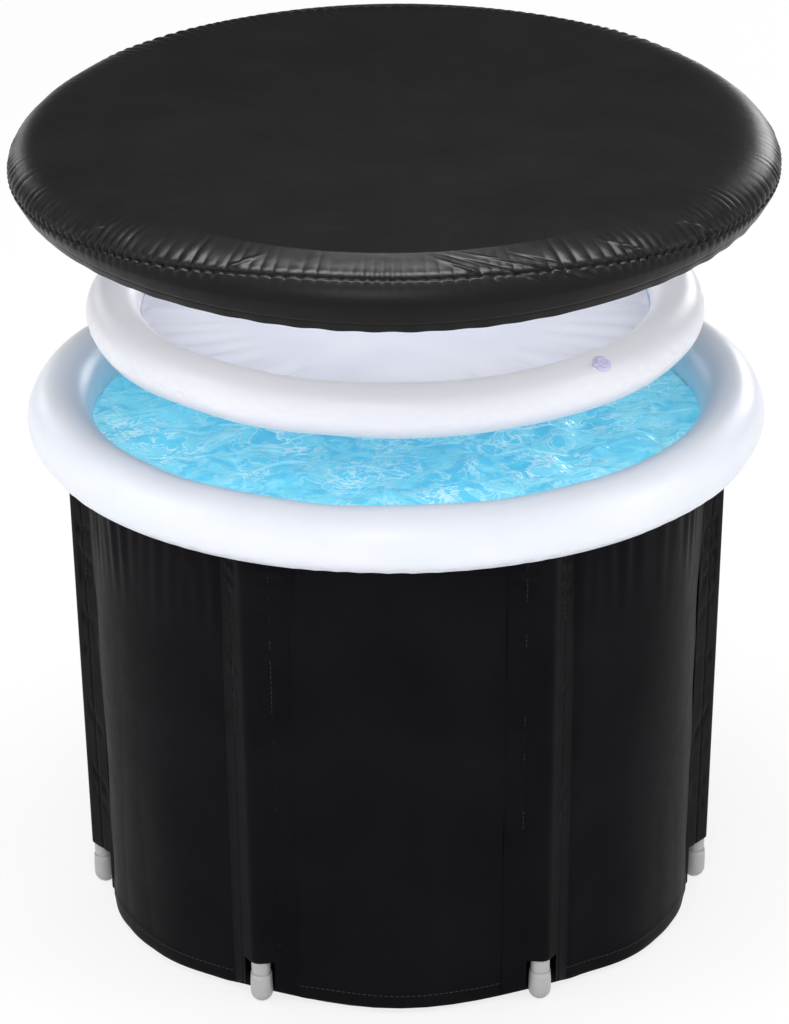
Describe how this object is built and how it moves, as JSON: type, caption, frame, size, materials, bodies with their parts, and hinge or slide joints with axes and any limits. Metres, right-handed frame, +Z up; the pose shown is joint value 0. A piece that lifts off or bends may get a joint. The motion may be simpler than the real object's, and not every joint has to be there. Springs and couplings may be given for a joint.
{
  "type": "cold plunge tub",
  "caption": "Portable round cold plunge tub: soft wall on poles, inflated collar, inflatable lid and fitted cover, both lifting off.",
  "frame": {"origin": "centre of the floor face under the tub", "axes": "+Z up through the mouth, -Y to the front, +X to the right seen from the front"},
  "size_m": [1.029, 1.029, 1.122],
  "materials": {
    "wall_fabric": "matt coated woven fabric",
    "cover_fabric": "satin coated woven fabric",
    "padding": "matt padding",
    "liner": "satin vinyl",
    "white_vinyl": "satin vinyl",
    "clear_vinyl": "glossy translucent vinyl",
    "pole_plastic": "smooth pipe",
    "drain_plastic": "moulded",
    "seal_rubber": "matt",
    "elastic": "woven elastic"
  },
  "bodies": {
    "tub": {"outer_wall": "wall_fabric", "insulation_wall": "padding", "insulation_base": "padding", "inner_liner": "liner", "base_panel": "wall_fabric", "air_collar": "white_vinyl", "collar_valve_base": "clear_vinyl", "drain_spout": "drain_plastic", "drain_washer": "seal_rubber", "drain_nut": "drain_plastic", "pole_pocket_1": "wall_fabric", "pole_pocket_2": "wall_fabric", "pole_pocket_3": "wall_fabric", "pole_pocket_4": "wall_fabric", "pole_pocket_5": "wall_fabric", "pole_pocket_6": "wall_fabric"},
    "collar_plug": {"collar_valve_plug": "clear_vinyl"},
    "drain_seal": {"drain_seal": "seal_rubber"},
    "drain_cap": {"drain_cap": "drain_plastic"},
    "lid": {"lid_ring": "white_vinyl", "lid_membrane": "clear_vinyl", "lid_valve_base": "clear_vinyl"},
    "lid_plug": {"lid_valve_plug": "clear_vinyl"},
    "cover": {"cover_top": "cover_fabric", "cover_skirt": "cover_fabric", "cover_elastic": "elastic"},
    "leg_1": {"pole_1": "pole_plastic", "pole_foot_1": "pole_plastic", "pole_cap_1": "pole_plastic"},
    "leg_2": {"pole_2": "pole_plastic", "pole_foot_2": "pole_plastic", "pole_cap_2": "pole_plastic"},
    "leg_3": {"pole_3": "pole_plastic", "pole_foot_3": "pole_plastic", "pole_cap_3": "pole_plastic"},
    "leg_4": {"pole_4": "pole_plastic", "pole_foot_4": "pole_plastic", "pole_cap_4": "pole_plastic"},
    "leg_5": {"pole_5": "pole_plastic", "pole_foot_5": "pole_plastic", "pole_cap_5": "pole_plastic"},
    "leg_6": {"pole_6": "pole_plastic", "pole_foot_6": "pole_plastic", "pole_cap_6": "pole_plastic"}
  },
  "joints": [
    {"name": "lid_lift", "type": "slide", "parent": "tub", "child": "lid", "axis": [0, 0, 1], "range_m": [-0.1175, 0.25]},
    {"name": "cover_lift", "type": "slide", "parent": "lid", "child": "cover", "axis": [0, 0, 1], "range_m": [-0.2045, 0.25]},
    {"name": "lid_plug_flip", "type": "hinge", "parent": "lid", "child": "lid_plug", "pos_m": [0.2548, -0.30899, 0.88701], "axis": [0.5481, -0.6087, -0.5736], "range_deg": [0, 150]},
    {"name": "collar_plug_flip", "type": "hinge", "parent": "tub", "child": "collar_plug", "pos_m": [0.0174, 0.48862, 0.73672], "axis": [0, 0.6428, -0.766], "range_deg": [0, 150]},
    {"name": "drain_seal_out", "type": "slide", "parent": "tub", "child": "drain_seal", "axis": [0, 0.9994, -0.0341], "range_m": [0, 0.012]},
    {"name": "drain_cap_turn", "type": "hinge", "parent": "drain_seal", "child": "drain_cap", "pos_m": [0, 0.4067, 0.04997], "axis": [0, 0.9994, -0.0341], "range_deg": [0, 1080]},
    {"name": "pole_1_slide", "type": "slide", "parent": "tub", "child": "leg_1", "axis": [-0.0155, 0.0304, -0.9994], "range_m": [0, 0.66]},
    {"name": "pole_2_slide", "type": "slide", "parent": "tub", "child": "leg_2", "axis": [-0.0341, 0, -0.9994], "range_m": [0, 0.66]},
    {"name": "pole_3_slide", "type": "slide", "parent": "tub", "child": "leg_3", "axis": [-0.0155, -0.0304, -0.9994], "range_m": [0, 0.66]},
    {"name": "pole_4_slide", "type": "slide", "parent": "tub", "child": "leg_4", "axis": [0.0155, -0.0304, -0.9994], "range_m": [0, 0.66]},
    {"name": "pole_5_slide", "type": "slide", "parent": "tub", "child": "leg_5", "axis": [0.0341, 0, -0.9994], "range_m": [0, 0.66]},
    {"name": "pole_6_slide", "type": "slide", "parent": "tub", "child": "leg_6", "axis": [0.0155, 0.0304, -0.9994], "range_m": [0, 0.66]}
  ],
  "couplings": [
    {"joint": "drain_seal_out", "follows": "drain_cap_turn", "m_per_rad": 0.00063662}
  ]
}
